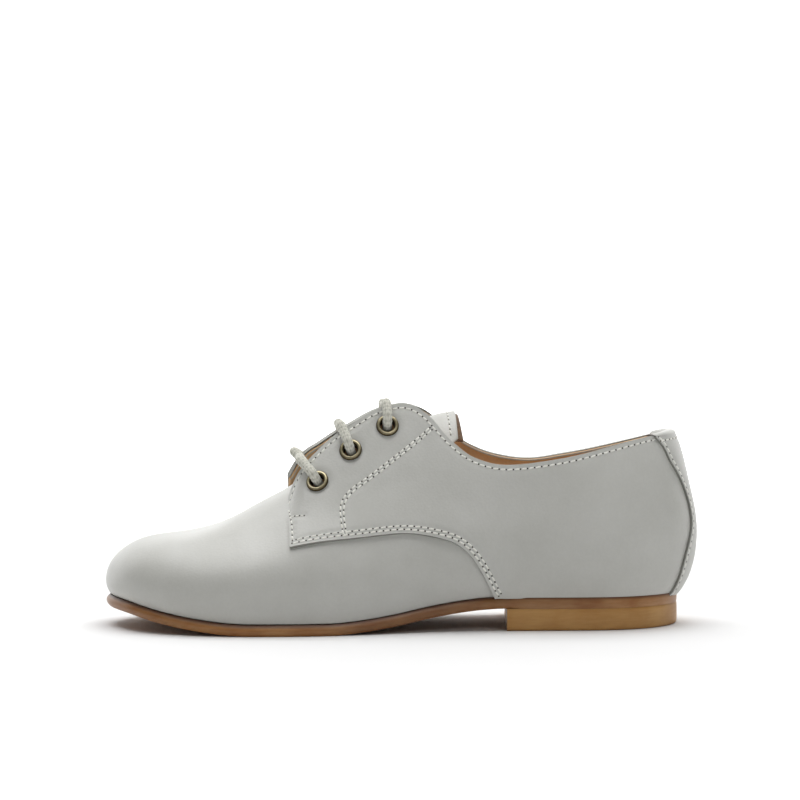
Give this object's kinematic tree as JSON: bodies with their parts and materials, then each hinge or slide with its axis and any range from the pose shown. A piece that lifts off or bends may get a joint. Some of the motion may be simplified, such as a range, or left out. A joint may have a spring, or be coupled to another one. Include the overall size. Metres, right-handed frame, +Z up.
{
  "type": "derby shoe",
  "caption": "Low open-laced derby shoe for a child's left foot, in pale grey smooth leather, with a tongue, brass eyelets, straight lace bars, a thin leather sole and a low block heel.",
  "frame": {"origin": "bottom centre of the bounding box, on the floor under the middle of the shoe", "axes": "+X from toe to heel, +Y towards the inner (medial) side, +Z up"},
  "size_m": [0.1901, 0.0732, 0.0733],
  "materials": {
    "upper_leather": "smooth full-grain leather, pale warm grey, satin",
    "tongue_leather": "smooth leather above, brown suede below",
    "insole_leather": "tan lining leather, matte",
    "outsole_leather": "tan sole leather with a waxed edge",
    "heel_leather": "light tan leather heel block, waxed",
    "eyelet_brass": "antiqued brass",
    "lace_cotton": "round braided cotton cord"
  },
  "bodies": {
    "root": {"upper": "upper_leather", "tongue": "tongue_leather", "insole": "insole_leather", "outsole": "outsole_leather", "heel": "heel_leather", "eyelet_lateral_1": "eyelet_brass", "eyelet_lateral_2": "eyelet_brass", "eyelet_lateral_3": "eyelet_brass", "eyelet_medial_1": "eyelet_brass", "eyelet_medial_2": "eyelet_brass", "eyelet_medial_3": "eyelet_brass", "lace_1": "lace_cotton", "lace_2": "lace_cotton", "lace_3": "lace_cotton"}
  },
  "joints": []
}
